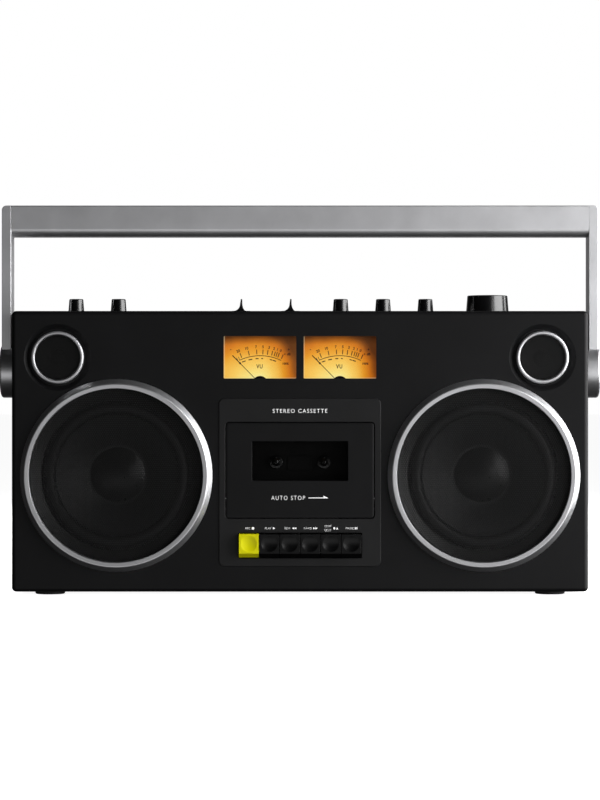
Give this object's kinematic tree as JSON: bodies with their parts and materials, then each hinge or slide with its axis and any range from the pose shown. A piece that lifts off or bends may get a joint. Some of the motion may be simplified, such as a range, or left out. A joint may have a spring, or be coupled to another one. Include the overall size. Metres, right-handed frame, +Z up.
{
  "type": "cassette player",
  "caption": "Portable stereo cassette player with speakers, level meters, a cassette deck with piano keys, top controls and a folding carrying handle.",
  "frame": {"origin": "on the surface that the feet stand on, at the middle of the overall box", "axes": "+Z up; -Y is the front, with the speakers, the deck and the keys; +X is to the right as seen from the front"},
  "size_m": [0.5396, 0.1274, 0.3465],
  "materials": {
    "black_plastic": "finely textured moulding",
    "deck_plastic": "satin moulding",
    "gloss_black": "gloss moulding",
    "satin_aluminium": "satin, lightly brushed",
    "steel": "bare",
    "basket_steel": "black paint",
    "speaker_mesh": "perforated, black",
    "cone_paper": "black pressed paper",
    "rubber": "matt",
    "lit_dial": "printed, lit from below",
    "yellow_key": "gloss moulding",
    "clear_window": "clear",
    "smoked_window": "smoked",
    "circuit_board": "lacquered",
    "battery_wrap": "wrapped cells"
  },
  "bodies": {
    "cabinet": {"battery_pack": "battery_wrap", "control_board": "circuit_board", "deck_chassis": "steel", "deck_panel": "deck_plastic", "drive_belt": "rubber", "drive_motor": "steel", "front_baffle": "black_plastic", "front_left_foot": "rubber", "front_right_foot": "rubber", "left_meter": "lit_dial", "left_tweeter": "basket_steel", "left_tweeter_ring": "satin_aluminium", "left_woofer_frame": "basket_steel", "left_woofer_grille": "speaker_mesh", "left_woofer_ring": "satin_aluminium", "main_board": "circuit_board", "meter_window": "clear_window", "rear_cabinet": "black_plastic", "rear_left_foot": "rubber", "rear_right_foot": "rubber", "right_meter": "lit_dial", "right_tweeter": "basket_steel", "right_tweeter_ring": "satin_aluminium", "right_woofer_frame": "basket_steel", "right_woofer_grille": "speaker_mesh", "right_woofer_ring": "satin_aluminium"},
    "handle": {"handle_grip": "satin_aluminium", "handle_left_arm": "satin_aluminium", "handle_right_arm": "satin_aluminium", "left_pivot_hub": "satin_aluminium", "right_pivot_hub": "satin_aluminium"},
    "door": {"cassette_door": "black_plastic", "door_window": "smoked_window", "cassette_holder": "deck_plastic"},
    "battery_lid": {"battery_door": "black_plastic"},
    "heads": {"head_plate": "steel", "tape_head": "steel"},
    "roller": {"pinch_roller": "rubber"},
    "flywheel": {"capstan_flywheel": "steel"},
    "pulley": {"motor_pulley": "steel"},
    "supply_reel": {"supply_spindle": "gloss_black"},
    "takeup_reel": {"takeup_spindle": "gloss_black"},
    "record": {"record_key": "yellow_key"},
    "play": {"play_key": "gloss_black"},
    "rewind": {"rewind_key": "gloss_black"},
    "fast_forward": {"fast_forward_key": "gloss_black"},
    "stop_eject": {"stop_eject_key": "gloss_black"},
    "pause": {"pause_key": "gloss_black"},
    "left_needle": {"left_meter_needle": "gloss_black"},
    "left_cone": {"left_woofer_cone": "cone_paper"},
    "right_needle": {"right_meter_needle": "gloss_black"},
    "right_cone": {"right_woofer_cone": "cone_paper"},
    "left_mic": {"left_mic_knob": "gloss_black"},
    "right_mic": {"right_mic_knob": "gloss_black"},
    "bass": {"bass_knob": "gloss_black"},
    "treble": {"treble_knob": "gloss_black"},
    "balance": {"balance_knob": "gloss_black"},
    "volume": {"volume_knob": "gloss_black"},
    "source_slider": {"source_switch": "gloss_black"},
    "tape_slider": {"tape_switch": "gloss_black"}
  },
  "joints": [
    {"name": "handle_swing", "type": "hinge", "parent": "cabinet", "child": "handle", "pos_m": [0, 0.00375, 0.198], "axis": [-1, 0, 0], "range_deg": [-90, 140]},
    {"name": "door_open", "type": "hinge", "parent": "cabinet", "child": "door", "pos_m": [0, -0.05525, 0.0722], "axis": [1, 0, 0], "range_deg": [0, 30]},
    {"name": "battery_lid_open", "type": "hinge", "parent": "cabinet", "child": "battery_lid", "pos_m": [0, 0.06375, 0.013], "axis": [-1, 0, 0], "range_deg": [0, 95]},
    {"name": "record_press", "type": "slide", "parent": "cabinet", "child": "record", "axis": [0, 1, 0], "range_m": [0, 0.005], "stiffness_N_per_m": 400},
    {"name": "play_press", "type": "slide", "parent": "cabinet", "child": "play", "axis": [0, 1, 0], "range_m": [0, 0.005], "stiffness_N_per_m": 400},
    {"name": "rewind_press", "type": "slide", "parent": "cabinet", "child": "rewind", "axis": [0, 1, 0], "range_m": [0, 0.005], "stiffness_N_per_m": 400},
    {"name": "fast_forward_press", "type": "slide", "parent": "cabinet", "child": "fast_forward", "axis": [0, 1, 0], "range_m": [0, 0.005], "stiffness_N_per_m": 400},
    {"name": "stop_eject_press", "type": "slide", "parent": "cabinet", "child": "stop_eject", "axis": [0, 1, 0], "range_m": [0, 0.005], "stiffness_N_per_m": 400},
    {"name": "pause_press", "type": "slide", "parent": "cabinet", "child": "pause", "axis": [0, 1, 0], "range_m": [0, 0.005], "stiffness_N_per_m": 400},
    {"name": "heads_rise", "type": "slide", "parent": "cabinet", "child": "heads", "axis": [0, 0, 1], "range_m": [0, 0.005]},
    {"name": "roller_spin", "type": "hinge", "parent": "heads", "child": "roller", "pos_m": [0.0285, -0.04, 0.0774], "axis": [0, 1, 0], "continuous": true},
    {"name": "flywheel_spin", "type": "hinge", "parent": "cabinet", "child": "flywheel", "pos_m": [0.0285, -0.03, 0.0894], "axis": [0, 1, 0], "continuous": true},
    {"name": "pulley_spin", "type": "hinge", "parent": "cabinet", "child": "pulley", "pos_m": [-0.032, -0.03, 0.0854], "axis": [0, 1, 0], "continuous": true},
    {"name": "supply_spin", "type": "hinge", "parent": "cabinet", "child": "supply_reel", "pos_m": [-0.02125, -0.04, 0.117], "axis": [0, 1, 0], "continuous": true},
    {"name": "takeup_spin", "type": "hinge", "parent": "cabinet", "child": "takeup_reel", "pos_m": [0.02125, -0.04, 0.117], "axis": [0, 1, 0], "continuous": true},
    {"name": "left_needle_swing", "type": "hinge", "parent": "cabinet", "child": "left_needle", "pos_m": [-0.03525, -0.049, 0.1864], "axis": [0, 1, 0], "range_deg": [0, 88], "stiffness_Nm_per_rad": 0.0005},
    {"name": "left_cone_travel", "type": "slide", "parent": "cabinet", "child": "left_cone", "axis": [0, 1, 0], "range_m": [-0.0025, 0.0025], "stiffness_N_per_m": 1500},
    {"name": "right_needle_swing", "type": "hinge", "parent": "cabinet", "child": "right_needle", "pos_m": [0.03525, -0.049, 0.1864], "axis": [0, 1, 0], "range_deg": [0, 88], "stiffness_Nm_per_rad": 0.0005},
    {"name": "right_cone_travel", "type": "slide", "parent": "cabinet", "child": "right_cone", "axis": [0, 1, 0], "range_m": [-0.0025, 0.0025], "stiffness_N_per_m": 1500},
    {"name": "left_mic_turn", "type": "hinge", "parent": "cabinet", "child": "left_mic", "pos_m": [-0.2018, 0.00375, 0.256], "axis": [0, 0, 1], "range_deg": [-150, 150]},
    {"name": "right_mic_turn", "type": "hinge", "parent": "cabinet", "child": "right_mic", "pos_m": [-0.1636, 0.00375, 0.256], "axis": [0, 0, 1], "range_deg": [-150, 150]},
    {"name": "bass_turn", "type": "hinge", "parent": "cabinet", "child": "bass", "pos_m": [0.0367, 0.00375, 0.256], "axis": [0, 0, 1], "range_deg": [-150, 150]},
    {"name": "treble_turn", "type": "hinge", "parent": "cabinet", "child": "treble", "pos_m": [0.0749, 0.00375, 0.256], "axis": [0, 0, 1], "range_deg": [-150, 150]},
    {"name": "balance_turn", "type": "hinge", "parent": "cabinet", "child": "balance", "pos_m": [0.1131, 0.00375, 0.256], "axis": [0, 0, 1], "range_deg": [-150, 150]},
    {"name": "volume_turn", "type": "hinge", "parent": "cabinet", "child": "volume", "pos_m": [0.169, 0.00375, 0.256], "axis": [0, 0, 1], "range_deg": [-150, 150]},
    {"name": "source_select", "type": "slide", "parent": "cabinet", "child": "source_slider", "axis": [1, 0, 0], "range_m": [-0.003, 0.003]},
    {"name": "tape_select", "type": "slide", "parent": "cabinet", "child": "tape_slider", "axis": [1, 0, 0], "range_m": [-0.003, 0.003]}
  ],
  "couplings": [
    {"joint": "heads_rise", "follows": "play_press", "ratio": 1},
    {"joint": "pulley_spin", "follows": "flywheel_spin", "ratio": 6.5}
  ]
}
